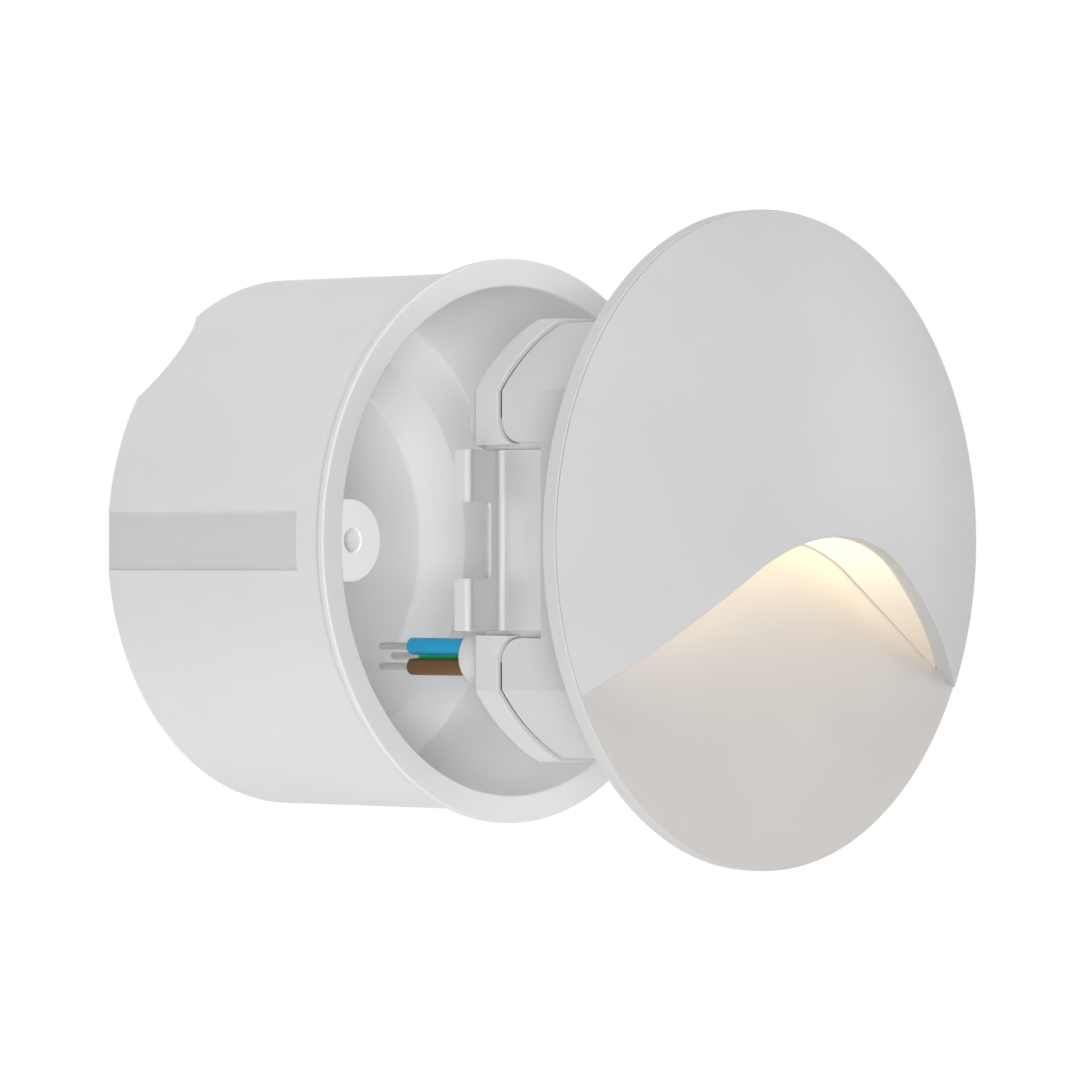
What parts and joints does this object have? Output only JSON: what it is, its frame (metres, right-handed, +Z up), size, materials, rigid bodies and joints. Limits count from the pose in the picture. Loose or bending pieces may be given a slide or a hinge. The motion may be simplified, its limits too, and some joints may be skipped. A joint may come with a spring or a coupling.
{
  "type": "recessed step light with wall box",
  "caption": "Round recessed step light with a hooded disc that washes light downwards, sprung clips and a cylindrical wall box that it slides into.",
  "frame": {"origin": "on the common axis of box and light, in the wall plane: the rear face of the box's flange", "axes": "+Y along the axis into the wall, -Y towards the viewer of the lit disc, +Z up; the light is cast down"},
  "size_m": [0.08, 0.0909, 0.08],
  "materials": {
    "box_plastic": "moulded, matt off-white",
    "housing_paint": "fine matt white powder coat",
    "hood_paint": "fine matt white powder coat",
    "diffuser": "frosted, lit from behind",
    "seal": "soft moulded",
    "cap_plastic": "moulded, matt white",
    "cable_white": "extruded, smooth",
    "core_blue": "extruded",
    "core_green": "extruded",
    "core_brown": "extruded",
    "bare_wire": "tinned copper",
    "spring_steel": "bright rolled stainless",
    "screw_steel": "zinc plated",
    "board": "glass-fibre board",
    "led_board": "white coated metal-core board",
    "led_chip": "phosphor lens",
    "thermal_pad": "soft filled silicone",
    "lead": "extruded",
    "component_black": "moulded epoxy",
    "component_yellow": "moulded case",
    "capacitor_can": "sleeved can"
  },
  "bodies": {
    "box": {"mounting_box": "box_plastic"},
    "lamp": {"front_housing": "housing_paint", "hood": "hood_paint", "diffuser": "diffuser", "diffuser_gasket": "seal", "led_board": "led_board", "thermal_pad": "thermal_pad", "led_chips": "led_chip", "led_leads": "lead", "driver_board": "board", "driver_transformer": "component_yellow", "driver_film_capacitor": "component_yellow", "driver_rectifier": "component_black", "driver_capacitor": "capacitor_can", "cap_gasket": "seal", "rear_cap": "cap_plastic", "cap_screws": "screw_steel", "driver_screws": "screw_steel", "hood_screws": "screw_steel", "led_board_screws": "screw_steel", "cable_sheath": "cable_white", "core_green": "core_green", "core_blue": "core_blue", "core_brown": "core_brown", "bare_wires": "bare_wire", "blanking_plug": "cable_white", "clip_left_base": "spring_steel", "clip_right_base": "spring_steel"},
    "left_clip": {"clip_left_wing": "spring_steel"},
    "right_clip": {"clip_right_wing": "spring_steel"}
  },
  "joints": [
    {"name": "lamp_insert", "type": "slide", "parent": "box", "child": "lamp", "axis": [0, 1, 0], "range_m": [0, 0.0393], "deforming": ["core_green", "core_blue", "core_brown", "bare_wires"]},
    {"name": "left_clip_flex", "type": "hinge", "parent": "lamp", "child": "left_clip", "pos_m": [-0.0214, -0.0188, 0], "axis": [0, 0, -1], "range_deg": [0, 10], "stiffness_Nm_per_rad": 0.17},
    {"name": "right_clip_flex", "type": "hinge", "parent": "lamp", "child": "right_clip", "pos_m": [0.0214, -0.0188, 0], "axis": [0, 0, 1], "range_deg": [0, 10], "stiffness_Nm_per_rad": 0.17}
  ]
}
